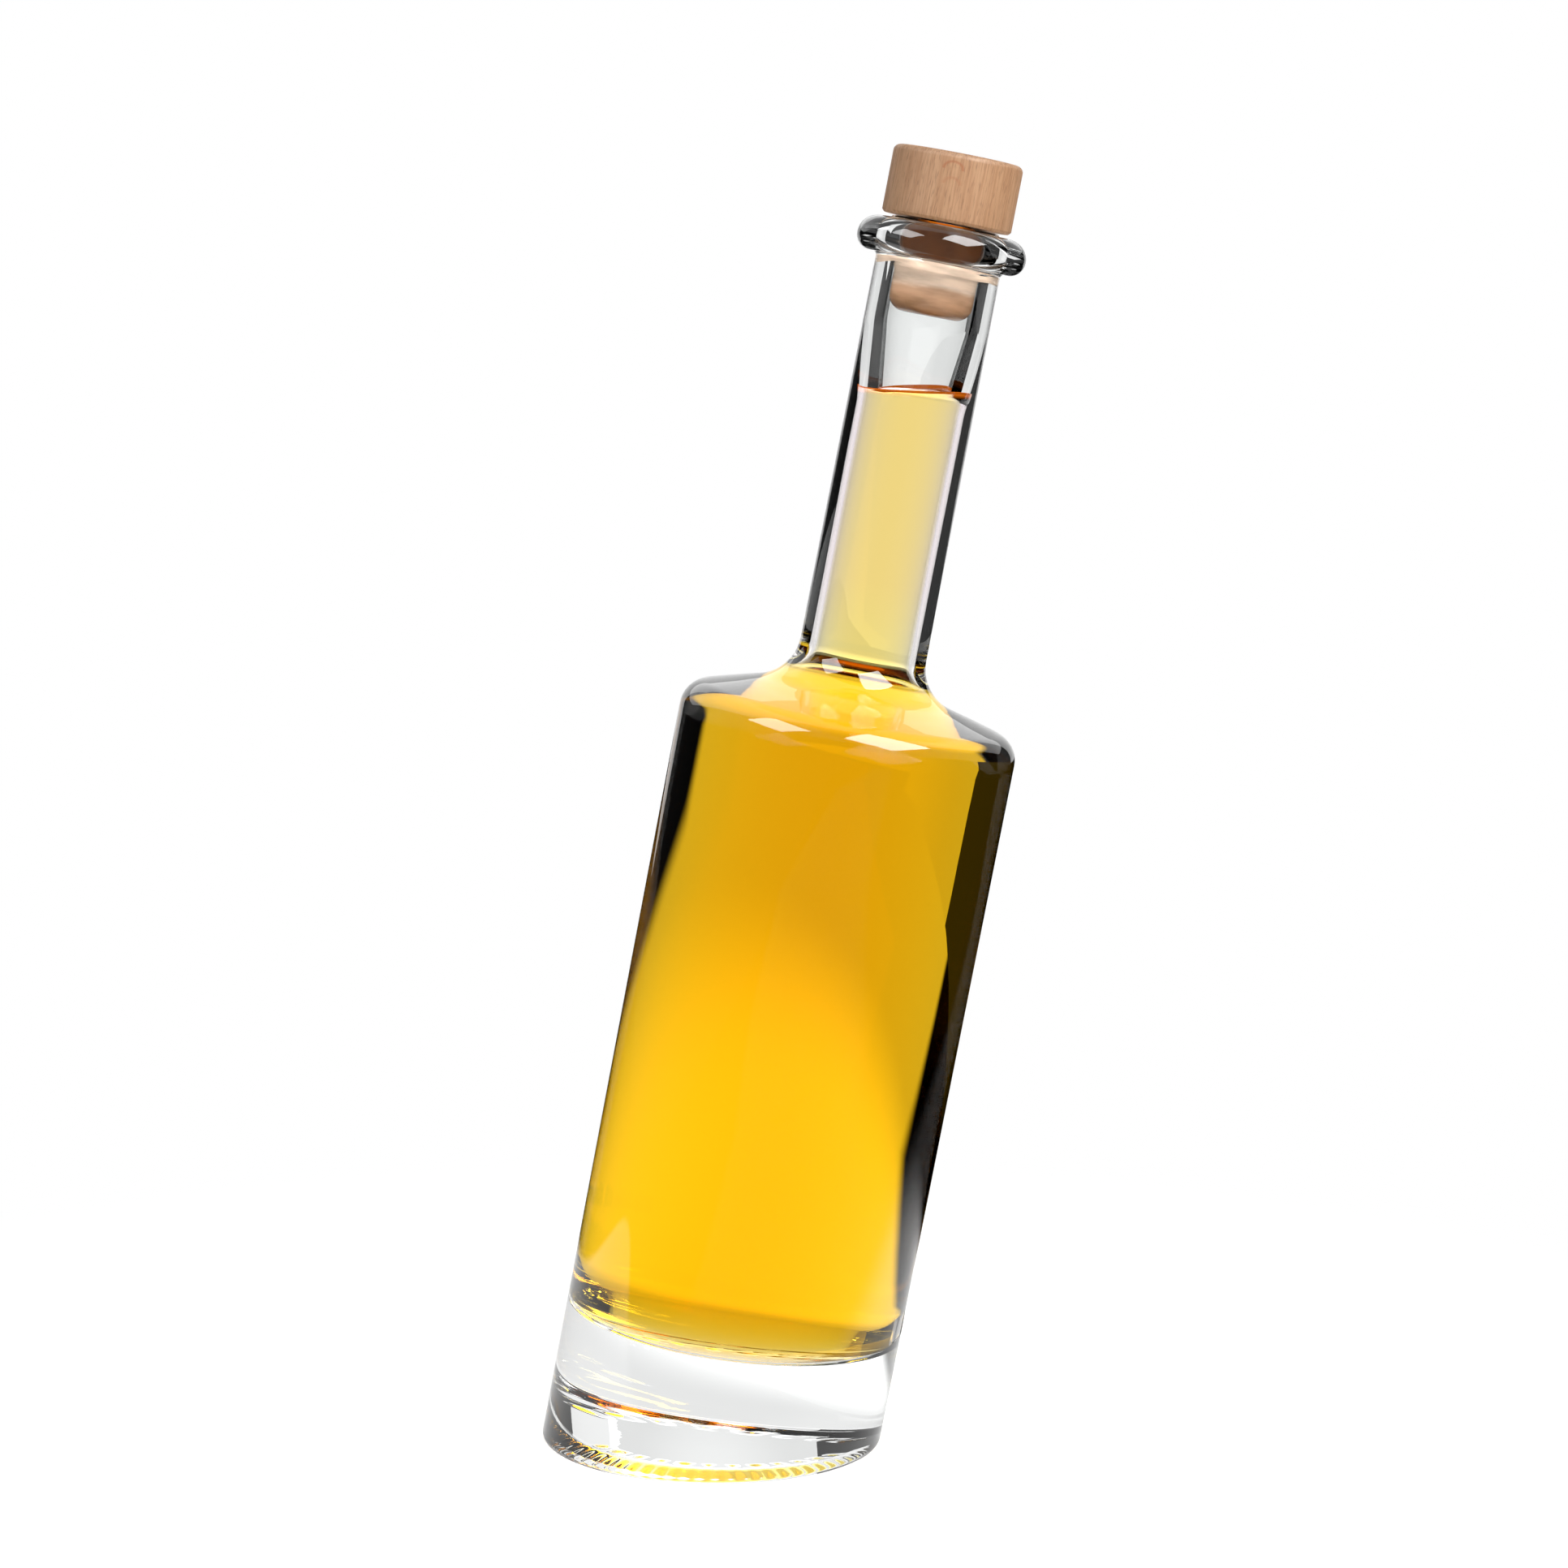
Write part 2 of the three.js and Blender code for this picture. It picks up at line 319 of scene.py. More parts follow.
def let_wall_drift(glass, verts):
    """The blown inside isn't a perfect cylinder: its wall wanders slowly round and up the body."""
    top = glass.shoulder_height
    for v in verts:
        radius = math.hypot(v.co.x, v.co.y)
        if radius < glass.floor_fillet:
            continue
        azimuth = math.atan2(v.co.y, v.co.x)
        rise = v.co.z / top
        share = min(1, radius / (glass.body_radius - glass.body_wall))
        wave = (math.sin(2 * azimuth + 5 * rise) + 0.6 * math.sin(3 * azimuth - 9 * rise + 1)
                + 0.4 * math.sin(5 * azimuth + 17 * rise + 2))
        below_seat = mouth_height(glass) - glass.bore_seat_depth - v.co.z
        fade = max(0, min(1, below_seat / DRIFT_FADE))
        offset = glass.wall_drift * wave * share * fade
        v.co.x *= 1 + offset / radius
        v.co.y *= 1 + offset / radius


MARK_INSET = 3 * MM
MARK_HALF_HEIGHT = 2 * MM
MARK_RELIEF = 0.45 * MM
MARK_PITCH = 12
DOT_WIDTH = 2.2
BAR_WIDTH = 4.5
BARS_EVERY = 3
MARKED_ARCS = ((40, 130), (200, 344))


def foot_mark(radius, azimuth, row_radius):
    """Height of the arcs of plain dots and bars; widths and arcs are in degrees round the foot."""
    row = (radius - row_radius) / MARK_HALF_HEIGHT
    along = math.degrees(azimuth) % 360
    if abs(row) >= 1 or not any(start < along < end for start, end in MARKED_ARCS):
        return 0
    width = DOT_WIDTH if int(along / MARK_PITCH) % BARS_EVERY else BAR_WIDTH
    mark = max(0, 1 - abs(along % MARK_PITCH - MARK_PITCH / 2) / width)
    return -MARK_RELIEF * min(1, 2 * mark) * math.sqrt(1 - row * row)


def foot_relief(glass, radius, azimuth):
    """Height of the relief under the foot: ridges on the bearing ring, and marks inside it."""
    bearing_outer = glass.body_radius - glass.heel_radius
    bearing_inner = bearing_outer - glass.bearing_width
    ridge_inner = bearing_inner - glass.punt_ramp
    across = (radius - ridge_inner) / (bearing_outer - ridge_inner)
    if 0 < across < 1:
        groove = 0.5 - 0.5 * math.cos(azimuth * glass.ridge_count)
        return glass.ridge_depth * groove * math.sin(math.pi * across)
    return foot_mark(radius, azimuth, ridge_inner - MARK_INSET)


def slant_foot(glass, verts):
    """Slants the foot along the axis, so that it stands level when the bottle leans."""
    for v in verts:
        if v.co.z < glass.base_thickness + 0.01 * MM:
            v.co.z += v.co.x * math.tan(LEAN)


def shape_foot(glass, verts):
    """Puts the relief under the foot and then slants it."""
    for v in verts:
        if v.co.z < glass.punt_depth + 0.01 * MM:
            radius = math.hypot(v.co.x, v.co.y)
            v.co.z += foot_relief(glass, radius, math.atan2(v.co.y, v.co.x))
    slant_foot(glass, verts)


def foot_corners(glass):
    bearing_inner = glass.body_radius - glass.heel_radius - glass.bearing_width
    return [
        corner(0, glass.punt_depth),
        corner(bearing_inner - glass.punt_ramp, glass.punt_depth, glass.punt_fillet),
        corner(bearing_inner, 0, glass.bearing_fillet),
        corner(glass.body_radius, 0, glass.heel_radius),
        corner(glass.body_radius, glass.base_thickness),
    ]


def upper_corners(glass):
    neck_foot = glass.shoulder_height + (glass.body_radius - glass.neck_foot_radius) * math.tan(
        glass.shoulder_slope)
    ring_bottom = glass.ring_height - glass.ring_half_height
    ring_top = glass.ring_height + glass.ring_half_height
    mouth = mouth_height(glass)
    return [
        corner(glass.body_radius, glass.base_thickness),
        corner(glass.body_radius, glass.shoulder_height, glass.shoulder_corner),
        corner(glass.neck_foot_radius, neck_foot, glass.neck_fillet),
        corner(glass.neck_top_radius, ring_bottom, glass.ring_undercut),
        corner(glass.ring_radius, ring_bottom, glass.ring_lower_round),
        corner(glass.ring_radius, ring_top, glass.ring_upper_round),
        corner(glass.lip_radius, ring_top, glass.lip_edge),
        corner(glass.lip_radius, mouth, glass.lip_edge),
        corner(glass.bore_mouth_radius, mouth, glass.mouth_lead_in),
        corner(glass.bore_mouth_radius, mouth - glass.mouth_lead_in),
    ]


def level_height():
    """Height of the liquid's level on the axis."""
    shaft_end = mouth_height(settings("bottle_glass")) - settings("bottle_stopper").shaft_length
    return shaft_end - settings("bottle_liquid").headspace


def mark_wet(bm, level):
    """Marks the part of the inner wall that the liquid wets."""
    wet = bm.verts.layers.float.new("wet")
    for v in bm.verts:
        v[wet] = 1.0 if v.co.z < level + v.co.x * math.tan(LEAN) else 0.0


GLASS_STEPS = 240
FOOT_STEP = 0.5 * MM
WALL_STEP = 6 * MM


class OBJECT_OT_bottle_glass(Operator):
    """Make the glass bottle, one blown piece with a slanted foot"""
    bl_idname = "object.bottle_glass"
    bl_label = "Glass Bottle"

    def execute(self, context):
        glass = settings("bottle_glass")
        foot = turned(outline(foot_corners(glass), FOOT_STEP), GLASS_STEPS)
        shape_foot(glass, foot.verts)
        upper = turned(outline(upper_corners(glass), WALL_STEP), GLASS_STEPS)
        slant_foot(glass, upper.verts)
        cavity = turned(outline(cavity_corners(glass), WALL_STEP), GLASS_STEPS)
        slant_floor(glass, cavity.verts)
        let_wall_drift(glass, cavity.verts)
        mark_wet(cavity, level_height())
        finished("bottle_glass", merged([foot, upper, cavity]), glass_material(glass),
                 "bottle", "glass_bottle")
        return {"FINISHED"}


# The liquid


def level_cut(bm, height):
    """Cuts the liquid along the level plane through a height on the axis, and returns the open edge."""
    upward = Vector((-math.sin(LEAN), 0, math.cos(LEAN)))
    cut = bmesh.ops.bisect_plane(bm, geom=bm.verts[:] + bm.edges[:] + bm.faces[:], dist=1e-7,
                                 plane_co=(0, 0, height), plane_no=upward, clear_outer=True)
    return upward, [e for e in cut["geom_cut"] if isinstance(e, bmesh.types.BMEdge)]


# Rings of the liquid's surface from the wall inwards: share of the radius, and the fall to it
MENISCUS_RINGS = ((0.975, 0.3), (0.94, 0.24), (0.89, 0.18), (0.81, 0.14), (0.68, 0.09), (0.45, 0.05))


def close_surface(bm, upward, rim, meniscus):
    """Closes the liquid with a surface that climbs a little at the wall."""
    points = {v for edge in rim for v in edge.verts}
    centre = sum((v.co for v in points), Vector()) / len(points)
    for share, fall in MENISCUS_RINGS:
        wall = bmesh.ops.extrude_edge_only(bm, edges=rim)["geom"]
        rim = [e for e in wall if isinstance(e, bmesh.types.BMEdge) and e.is_boundary]
        for v in {v for edge in rim for v in edge.verts}:
            v.co = centre + (v.co - centre) * share - upward * meniscus * fall
    bmesh.ops.edgenet_fill(bm, edges=rim)


class OBJECT_OT_bottle_liquid(Operator):
    """Make the golden liquid, level at the top and wetting the glass all round"""
    bl_idname = "object.bottle_liquid"
    bl_label = "Liquid"

    def execute(self, context):
        glass = settings("bottle_glass")
        liquid = settings("bottle_liquid")
        fill = level_height()
        bm = turned(outline(cavity_corners(glass, liquid.wetting), WALL_STEP), GLASS_STEPS)
        slant_floor(glass, bm.verts)
        let_wall_drift(glass, bm.verts)
        upward, rim = level_cut(bm, fill + liquid.meniscus)
        close_surface(bm, upward, rim, liquid.meniscus)
        finished("golden_liquid", bm, liquid_material(glass, liquid, fill),
                 "bottle", "liquid_fill")
        return {"FINISHED"}


# The stopper

STOPPER_STEPS = 192
HEAD_STEP = 1 * MM
SHAFT_STEP = 0.5 * MM
PATCH_RELIEF = 0.12 * MM
PATCH_FADE = 0.8 * MM


class OBJECT_OT_bottle_stopper_head(Operator):
    """Make the turned beech head with the socket for its shaft"""
    bl_idname = "object.bottle_stopper_head"
    bl_label = "Stopper Head"

    def execute(self, context):
        glass = settings("bottle_glass")
        stopper = settings("bottle_stopper")
        bottom = mouth_height(glass) + stopper.seat_gap
        top = bottom + stopper.head_thickness
        socket = stopper.spigot_radius + stopper.seat_gap
        points = outline([
            corner(0, bottom + stopper.spigot_length),
            corner(socket, bottom + stopper.spigot_length),
            corner(socket, bottom),
            corner(stopper.head_radius - stopper.head_chamfer, bottom, stopper.head_chamfer / 2),
            corner(stopper.head_radius, bottom + stopper.head_chamfer, stopper.head_chamfer / 2),
            corner(stopper.head_radius, top, stopper.head_round),
            corner(0, top),
        ], HEAD_STEP)
        bm = turned(points, STOPPER_STEPS)
        finished("beech_head", bm, beech_material(stopper, top),
                 "stopper", "stopper_head")
        return {"FINISHED"}


def press_on_glass(stopper, verts, top, radius):
    """Where the shaft is pressed against the bore it lies on the glass, in uneven patches."""
    for v in verts:
        here = math.hypot(v.co.x, v.co.y)
        depth = top - stopper.press_start - v.co.z
        if here < radius - 0.01 * MM or not 0 < depth < stopper.press_length:
            continue
        azimuth = math.atan2(v.co.y, v.co.x)
        patch = math.sin(3 * azimuth + 900 * depth) * math.sin(2.3e3 * depth + 2 * math.sin(2 * azimuth))
        reach = stopper.seat_gap + stopper.press_depth + PATCH_RELIEF * patch
        fade = min(1, (stopper.press_length - depth) / PATCH_FADE, depth / PATCH_FADE)
        v.co.x *= 1 + reach * fade / here
        v.co.y *= 1 + reach * fade / here


class OBJECT_OT_bottle_stopper_shaft(Operator):
    """Make the smooth shaft that plugs the bore"""
    bl_idname = "object.bottle_stopper_shaft"
    bl_label = "Stopper Shaft"

    def execute(self, context):
        glass = settings("bottle_glass")
        stopper = settings("bottle_stopper")
        top = mouth_height(glass)
        end = top - stopper.shaft_length
        radius = glass.bore_mouth_radius - stopper.seat_gap
        spigot_top = top + stopper.spigot_length
        points = outline([
            corner(0, end),
            corner(radius, end, stopper.shaft_end_round),
            corner(radius, top),
            corner(stopper.spigot_radius, top),
            corner(stopper.spigot_radius, spigot_top),
            corner(0, spigot_top),
        ], SHAFT_STEP)
        bm = turned(points, STOPPER_STEPS)
        press_on_glass(stopper, bm.verts, top, radius)
        finished("stopper_shaft_smooth", bm, shaft_material(stopper, top, end),
                 "stopper", "stopper_shaft")
        return {"FINISHED"}


# Materials


def new_material(name):
    material = bpy.data.materials.new(name)
    material.use_nodes = True
    nodes = material.node_tree.nodes
    return material, nodes, material.node_tree.links, nodes["Principled BSDF"]


def set_or_link(links, socket, value):
    if isinstance(value, (int, float)):
        socket.default_value = value
    else:
        links.new(value, socket)


def math_node(nodes, links, operation, *values):
    node = nodes.new("ShaderNodeMath")
    node.operation = operation
    for socket, value in zip(node.inputs, values):
        set_or_link(links, socket, value)
    return node.outputs[0]


def map_range(nodes, links, value, lowest, highest, to_lowest=0.0, to_highest=1.0):
    node = nodes.new("ShaderNodeMapRange")
    limits = ("From Min", lowest), ("From Max", highest), ("To Min", to_lowest), ("To Max", to_highest)
    for name, limit in limits:
        node.inputs[name].default_value = limit
    links.new(value, node.inputs["Value"])
    return node


def mix_colours(nodes, links, factor, first, second):
    """Blends two colours, each a colour or a socket."""
    mix = nodes.new("ShaderNodeMix")
    mix.data_type = "RGBA"
    links.new(factor, mix.inputs["Factor"])
    for name, value in (("A", first), ("B", second)):
        if isinstance(value, tuple):
            mix.inputs[name].default_value = (*value, 1)
        else:
            links.new(value, mix.inputs[name])
    return mix.outputs["Result"]


def new_group(name, inputs, outputs):
    group = bpy.data.node_groups.new(name, "ShaderNodeTree")
    for socket, kind, value in inputs:
        made = group.interface.new_socket(socket, in_out="INPUT", socket_type=kind)
        if value is not None:
            made.default_value = value
    for socket, kind in outputs:
        group.interface.new_socket(socket, in_out="OUTPUT", socket_type=kind)
    return group, group.nodes.new("NodeGroupInput"), group.nodes.new("NodeGroupOutput")


def along_axis(nodes, links, scale=(1, 1, 1), turn=0.0):
    """Object coordinates turned upright on the bottle's axis, then stretched."""
    place = nodes.new("ShaderNodeTexCoord")
    upright = nodes.new("ShaderNodeMapping")
    upright.vector_type = "TEXTURE"
    upright.inputs["Location"].default_value = FOOT
    upright.inputs["Rotation"].default_value = (0, LEAN, 0)
    links.new(place.outputs["Object"], upright.inputs["Vector"])
    stretch = nodes.new("ShaderNodeMapping")
    stretch.inputs["Rotation"].default_value = (0, 0, turn)
    stretch.inputs["Scale"].default_value = scale
    links.new(upright.outputs["Vector"], stretch.inputs["Vector"])
    return upright.outputs["Vector"], stretch.outputs["Vector"]


def ripple_group():
    """Faint unevenness of a blown or moulded surface, as a height."""
    name = "moulded ripple"
    if name in bpy.data.node_groups:
        return bpy.data.node_groups[name]
    group, entry, out = new_group(name, [
        ("Vector", "NodeSocketVector", None),
        ("Long Waves", "NodeSocketFloat", 40.0),
        ("Fine Waves", "NodeSocketFloat", 260.0),
        ("Fine Share", "NodeSocketFloat", 0.12),
    ], [("Height", "NodeSocketFloat")])
    nodes, links = group.nodes, group.links
    heights = []
    for scale in ("Long Waves", "Fine Waves"):
        noise = nodes.new("ShaderNodeTexNoise")
        noise.inputs["Detail"].default_value = 1.5
        links.new(entry.outputs["Vector"], noise.inputs["Vector"])
        links.new(entry.outputs[scale], noise.inputs["Scale"])
        heights.append(noise.outputs["Fac"])
    fine = math_node(nodes, links, "MULTIPLY", heights[1], entry.outputs["Fine Share"])
    links.new(math_node(nodes, links, "ADD", heights[0], fine), out.inputs["Height"])
    return group


def bump_from_ripple(nodes, links, shader, vector, strength, distance, long_waves, fine_waves):
    ripple = nodes.new("ShaderNodeGroup")
    ripple.node_tree = ripple_group()
    ripple.inputs["Long Waves"].default_value = long_waves
    ripple.inputs["Fine Waves"].default_value = fine_waves
    links.new(vector, ripple.inputs["Vector"])
    bump = nodes.new("ShaderNodeBump")
    bump.inputs["Strength"].default_value = strength
    bump.inputs["Distance"].default_value = distance
    links.new(ripple.outputs["Height"], bump.inputs["Height"])
    links.new(bump.outputs["Normal"], shader.inputs["Normal"])


WET_MIRROR = (0.05, 0.05, 0.05)
LIQUID_MIRROR = (0.06, 0.06, 0.06)
# Painted tint: from 5 to 30 mm above the shoulder the liquid lets through a little less green. This stands
# in for the redder light in the neck; the liquid itself is the same there.
NECK_PAINTED_TINT = (1.0, 0.905, 0.965)
NECK_PAINTED_TINT_RISE = (5 * MM, 30 * MM)
# Painted glow: the amber of the emission painted on the liquid's rim.
PAINTED_RIM_AMBER = (0.62, 0.13, 0.005)


def glass_material(glass):
    """Clear flint glass with the faint waves that blowing leaves along the axis."""
    material, nodes, links, shader = new_material("clear flint glass")
    shader.inputs["Base Color"].default_value = (*glass.tint, 1)
    shader.inputs["Roughness"].default_value = 0.0
    shader.inputs["IOR"].default_value = 1.52
    shader.inputs["Transmission Weight"].default_value = 1.0
    _, stretched = along_axis(nodes, links, scale=(1, 1, 0.25))
    bump_from_ripple(nodes, links, shader, stretched, 0.12, 0.4 * MM, 35.0, 240.0)
    wet = nodes.new("ShaderNodeAttribute")
    wet.attribute_name = "wet"
    mirror = mix_colours(nodes, links, wet.outputs["Fac"], (1, 1, 1), WET_MIRROR)
    links.new(mirror, shader.inputs["Specular Tint"])
    return material


def liquid_material(glass, liquid, fill):
    """Golden liquid: its depth colours it, it hardly mirrors against glass, and its rim has a painted amber
    glow, an emission where there is no lamp.
    """
    material, nodes, links, shader = new_material("golden liquid")
    shader.inputs["Roughness"].default_value = 0.0
    shader.inputs["IOR"].default_value = 1.37
    shader.inputs["Transmission Weight"].default_value = 1.0
    shader.inputs["Specular Tint"].default_value = (*LIQUID_MIRROR, 1)
    upright, _ = along_axis(nodes, links)
    height = nodes.new("ShaderNodeSeparateXYZ")
    links.new(upright, height.inputs["Vector"])
    low, high = (glass.shoulder_height + rise for rise in NECK_PAINTED_TINT_RISE)
    neck = map_range(nodes, links, height.outputs["Z"], low, high)
    # The mix below, called skin, is a painted tint on the liquid in the neck that stands in for light. It is
    # not a real film.
    skin = mix_colours(nodes, links, neck.outputs["Result"], (1, 1, 1), NECK_PAINTED_TINT)
    links.new(skin, shader.inputs["Base Color"])
    place = nodes.new("ShaderNodeTexCoord")
    level = nodes.new("ShaderNodeSeparateXYZ")
    links.new(place.outputs["Object"], level.inputs["Vector"])
    flat = fill * math.cos(LEAN)
    # Painted glow: a band on the meniscus, just above the level, glows amber though it is no lamp.
    rim = map_range(nodes, links, level.outputs["Z"], flat + 0.1 * MM, flat + liquid.meniscus * 0.5)
    shader.inputs["Emission Color"].default_value = (*PAINTED_RIM_AMBER, 1)
    links.new(math_node(nodes, links, "MULTIPLY", rim.outputs["Result"], liquid.painted_rim_glow),
              shader.inputs["Emission Strength"])
    depth = nodes.new("ShaderNodeVolumeAbsorption")
    depth.inputs["Color"].default_value = (*liquid.colour, 1)
    depth.inputs["Density"].default_value = liquid.density
    links.new(depth.outputs["Volume"], nodes["Material Output"].inputs["Volume"])
    return material


def beech_group():
    """Beech cut along the grain: slow bands, fine vertical flecks and pores."""
    group, entry, out = new_group("beech grain", [
        ("Vector", "NodeSocketVector", None),
        ("Light", "NodeSocketColor", None),
        ("Dark", "NodeSocketColor", None),
        ("Fleck", "NodeSocketColor", None),
    ], [("Color", "NodeSocketColor"), ("Height", "NodeSocketFloat"), ("Roughness", "NodeSocketFloat")])
    nodes, links = group.nodes, group.links

    def stretched_noise(scale, detail, lowest, highest):
        stretch = nodes.new("ShaderNodeMapping")
        stretch.inputs["Scale"].default_value = scale
        noise = nodes.new("ShaderNodeTexNoise")
        noise.inputs["Scale"].default_value = 1.0
        noise.inputs["Detail"].default_value = detail
        links.new(entry.outputs["Vector"], stretch.inputs["Vector"])
        links.new(stretch.outputs["Vector"], noise.inputs["Vector"])
        return map_range(nodes, links, noise.outputs["Fac"], lowest, highest).outputs["Result"]

    def blend(mask, share, first, second):
        return mix_colours(nodes, links, math_node(nodes, links, "MULTIPLY", mask, share), first, second)

    bands = stretched_noise((210, 210, 25), 4, 0.4, 0.75)
    streaks = stretched_noise((2100, 2100, 70), 3, 0.42, 0.66)
    flecks = stretched_noise((3600, 3600, 420), 1, 0.56, 0.7)
    pale = blend(bands, 0.5, entry.outputs["Light"], entry.outputs["Dark"])
    streaked = blend(streaks, 0.55, pale, entry.outputs["Dark"])
    flecked = blend(flecks, 0.42, streaked, entry.outputs["Fleck"])
    links.new(flecked, out.inputs["Color"])
    relief = math_node(nodes, links, "ADD", flecks, math_node(nodes, links, "MULTIPLY", streaks, 0.5))
    links.new(math_node(nodes, links, "SUBTRACT", 1.0, relief), out.inputs["Height"])
    rough = math_node(nodes, links, "MULTIPLY", streaks, 0.12)
    links.new(math_node(nodes, links, "ADD", rough, 0.55), out.inputs["Roughness"])
    return group


def grain_eye(nodes, links, upright, centre, radius, width):
    """A mask for one arched grain mark: the upper half of a thin ring on the front of the head."""
    parts = nodes.new("ShaderNodeSeparateXYZ")
    links.new(upright, parts.inputs["Vector"])
    across = math_node(nodes, links, "SUBTRACT", parts.outputs["X"], centre[0])
    above = math_node(nodes, links, "SUBTRACT", parts.outputs["Z"], centre[1])
    flat = math_node(nodes, links, "MULTIPLY", across, 0.8)
    squares = math_node(nodes, links, "ADD", math_node(nodes, links, "MULTIPLY", flat, flat),
                        math_node(nodes, links, "MULTIPLY", above, above))
    off = math_node(nodes, links, "SUBTRACT", math_node(nodes, links, "SQRT", squares), radius)
    ring = math_node(nodes, links, "DIVIDE", math_node(nodes, links, "ABSOLUTE", off), width)
    near = math_node(nodes, links, "MAXIMUM", math_node(nodes, links, "SUBTRACT", 1.0, ring), 0.0)
    upper = math_node(nodes, links, "GREATER_THAN", above, 0.0)
    front = math_node(nodes, links, "LESS_THAN", parts.outputs["Y"], 0.0)
    return math_node(nodes, links, "MULTIPLY", math_node(nodes, links, "MULTIPLY", near, upper), front)


EYE_COLOUR = (0.5, 0.16, 0.05)


def beech_material(stopper, top):
    """Sanded beech with one arched grain mark near the front of the top edge."""
    material, nodes, links, shader = new_material("sanded beech")
    upright, _ = along_axis(nodes, links)
    grain = nodes.new("ShaderNodeGroup")
    grain.node_tree = beech_group()
    links.new(upright, grain.inputs["Vector"])
    for name, value in (("Light", stopper.beech_light), ("Dark", stopper.beech_dark),
                        ("Fleck", stopper.beech_fleck)):
        grain.inputs[name].default_value = (*value, 1)
    eye = grain_eye(nodes, links, upright, (-1.2 * MM, top - 3.8 * MM), 1.7 * MM, 0.4 * MM)
    lower_eye = grain_eye(nodes, links, upright, (-1.0 * MM, top - 7 * MM), 1.4 * MM, 0.5 * MM)
    eye = math_node(nodes, links, "MAXIMUM", eye, math_node(nodes, links, "MULTIPLY", lower_eye, 0.45))
    wood = mix_colours(nodes, links, math_node(nodes, links, "MULTIPLY", eye, 0.8),
                       grain.outputs["Color"], EYE_COLOUR)
    links.new(wood, shader.inputs["Base Color"])
    links.new(grain.outputs["Roughness"], shader.inputs["Roughness"])
    bump = nodes.new("ShaderNodeBump")
    bump.inputs["Strength"].default_value = 0.25
    bump.inputs["Distance"].default_value = 0.08 * MM
    links.new(grain.outputs["Height"], bump.inputs["Height"])
    links.new(bump.outputs["Normal"], shader.inputs["Normal"])
    return material


def shaft_material(stopper, top, end):
    """Smooth tan shaft, darker towards its end, with painted light and shade: painted shade under the head,
    and a painted pale band in streaks where it is pressed on the glass.
    """
    material, nodes, links, shader = new_material("smooth tan shaft")
    upright, stretched = along_axis(nodes, links, scale=(0.25, 0.25, 1))
    noise = nodes.new("ShaderNodeTexNoise")
    noise.inputs["Scale"].default_value = 420.0
    noise.inputs["Detail"].default_value = 3.0
    links.new(stretched, noise.inputs["Vector"])
    height = nodes.new("ShaderNodeSeparateXYZ")
    links.new(upright, height.inputs["Vector"])
    wander = math_node(nodes, links, "MULTIPLY_ADD", noise.outputs["Fac"], 3 * MM, height.outputs["Z"])
    along = map_range(nodes, links, wander, end, top)
    ramp = nodes.new("ShaderNodeValToRGB")
    tan = Vector(stopper.shaft_colour)
    pale = Vector(stopper.shaft_painted_pale)
    painted_shade = Vector(stopper.shaft_painted_shade)
    # The ramp runs from the shaft's end up: darker towards the end, then tan, then the painted pale band of
    # light where it presses on the glass, then painted shade in the ring and under the head.
    stops = ((0.0, tan * 0.5), (0.12, tan), (0.36, tan.lerp(pale, 0.3)), (0.41, pale), (0.72, pale),
             (0.76, painted_shade), (1.0, painted_shade * 0.7))
    while len(ramp.color_ramp.elements) < len(stops):
        ramp.color_ramp.elements.new(0.5)
    for element, (place, shade) in zip(ramp.color_ramp.elements, stops):
        element.position = place
        element.color = (*shade, 1)
    links.new(along.outputs["Result"], ramp.inputs["Fac"])
    cloudy = map_range(nodes, links, noise.outputs["Fac"], 0.35, 0.65, 0.72, 1.12)
    shade = nodes.new("ShaderNodeVectorMath")
    shade.operation = "SCALE"
    links.new(ramp.outputs["Color"], shade.inputs[0])
    links.new(cloudy.outputs["Result"], shade.inputs["Scale"])
    links.new(shade.outputs["Vector"], shader.inputs["Base Color"])
    shader.inputs["Roughness"].default_value = 0.22
    bump_from_ripple(nodes, links, shader, stretched, 0.1, 0.1 * MM, 90.0, 700.0)
    return material


# The studio: the card and the lamps hang on the camera, as round a turntable


def make_camera(studio):
    data = bpy.data.cameras.new("camera")
    data.lens = studio.focal_length
    camera = bpy.data.objects.new("camera", data)
    camera.location = (studio.side, -studio.distance, studio.height)
    facing = Matrix.Rotation(math.pi / 2 - studio.pitch, 4, "X") @ Matrix.Rotation(studio.roll, 4, "Z")
    camera.rotation_euler = facing.to_euler()
    bpy.context.scene.collection.objects.link(camera)
    bpy.context.scene.camera = camera
    return camera


def hang_on(camera, piece, place, target):
    """Places a lamp or card in the camera's own space, facing a target there."""
    piece.parent = camera
    piece.location = place
    aim = Vector(target) - Vector(place)
    piece.rotation_euler = aim.to_track_quat("-Z", "Y").to_euler()


# Places are in the camera's space. A mirrored lamp shows in gloss and glass, the others light matt things
LAMPS = (
    ("key_box", (0.55, 0.75, -0.25), (0.7, 0.85), 24.0, True),
    ("fill_box", (-0.6, 0.7, -0.3), (0.6, 0.6), 10.0, True),
    ("key_light", (0.5, 0.75, -0.25), (0.4, 0.4), 4.6, False),
    ("fill_light", (-0.6, 0.7, -0.3), (0.3, 0.3), 0.3, False),
    ("front_fill", (0.12, 0.25, 0.1), (0.3, 0.3), 2.4, False),
    ("overhead", (0, 1.15, -1.4), (3.4, 2.4), 23.0, True),
    ("top_light", (0, 1.15, -1.4), (2.0, 1.5), 8.5, False),
)
CARD_SIDE = 0.03


